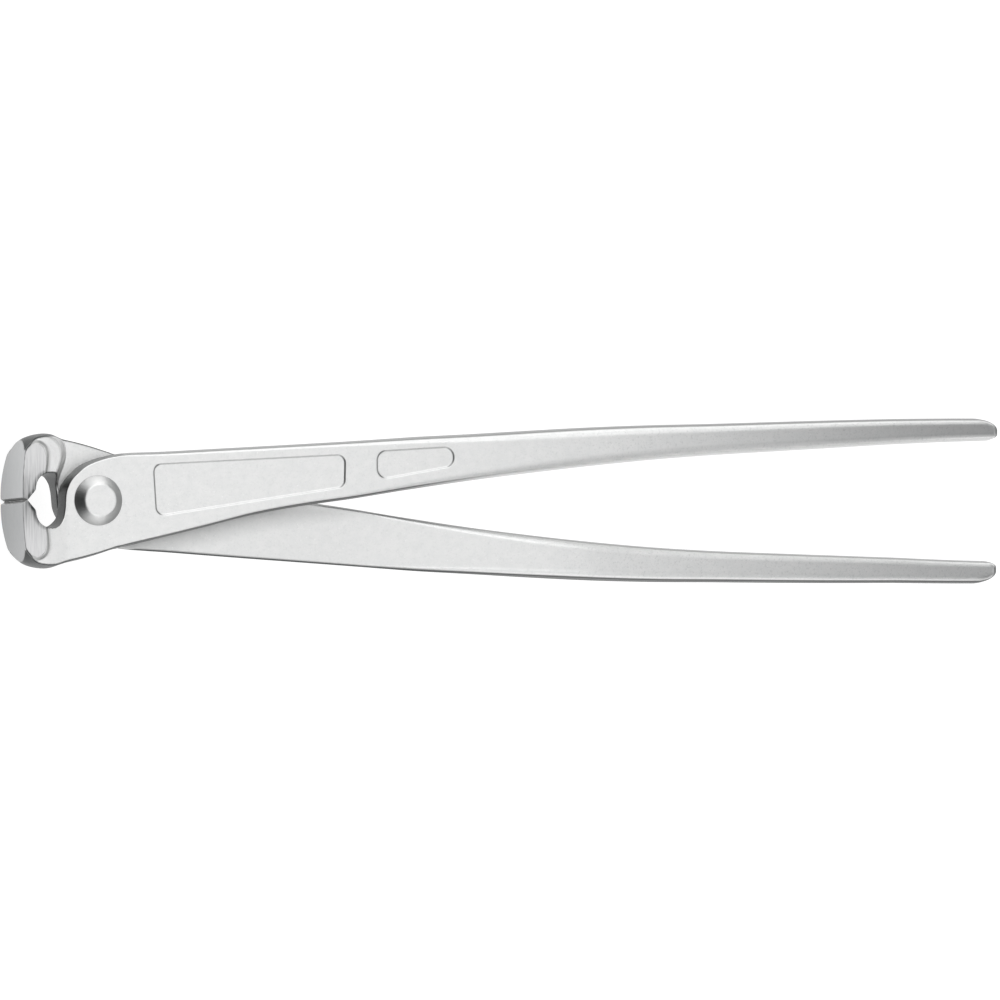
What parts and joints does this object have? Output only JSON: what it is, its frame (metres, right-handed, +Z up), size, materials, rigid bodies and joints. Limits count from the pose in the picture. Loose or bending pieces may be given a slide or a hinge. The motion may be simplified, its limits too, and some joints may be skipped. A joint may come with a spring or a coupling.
{
  "type": "rebar tying pliers",
  "caption": "Long-handled end-cutting nippers for twisting and cutting tie wire: crossed forged levers on a rivet, wide jaws with a round throat, slim tapering bare steel handles.",
  "frame": {"origin": "centre of the tool's box on the surface it lies on: midway along its 300 mm, in the plane where the jaws meet, at the lowest point of the wide jaws; the rivet's axis is the vertical line at x = -0.127", "axes": "+X along the tool from the jaws to the handle ends, +Y to the side of the front lever's handle, +Z up along the rivet's axis"},
  "size_m": [0.3, 0.048, 0.02],
  "materials": {
    "lever_steel": "bright zinc plated forged steel, satin with a fine blasted grain; jaw fronts and side flats ground",
    "rivet_steel": "bright zinc plated steel, turned and pressed, satin"
  },
  "bodies": {
    "rear": {"rear_lever": "lever_steel", "joint_rivet": "rivet_steel"},
    "front": {"front_lever": "lever_steel"}
  },
  "joints": [
    {"name": "lever_hinge", "type": "hinge", "parent": "rear", "child": "front", "pos_m": [-0.127, 0, 0.01], "axis": [0, 0, 1], "range_deg": [0, 40]}
  ]
}
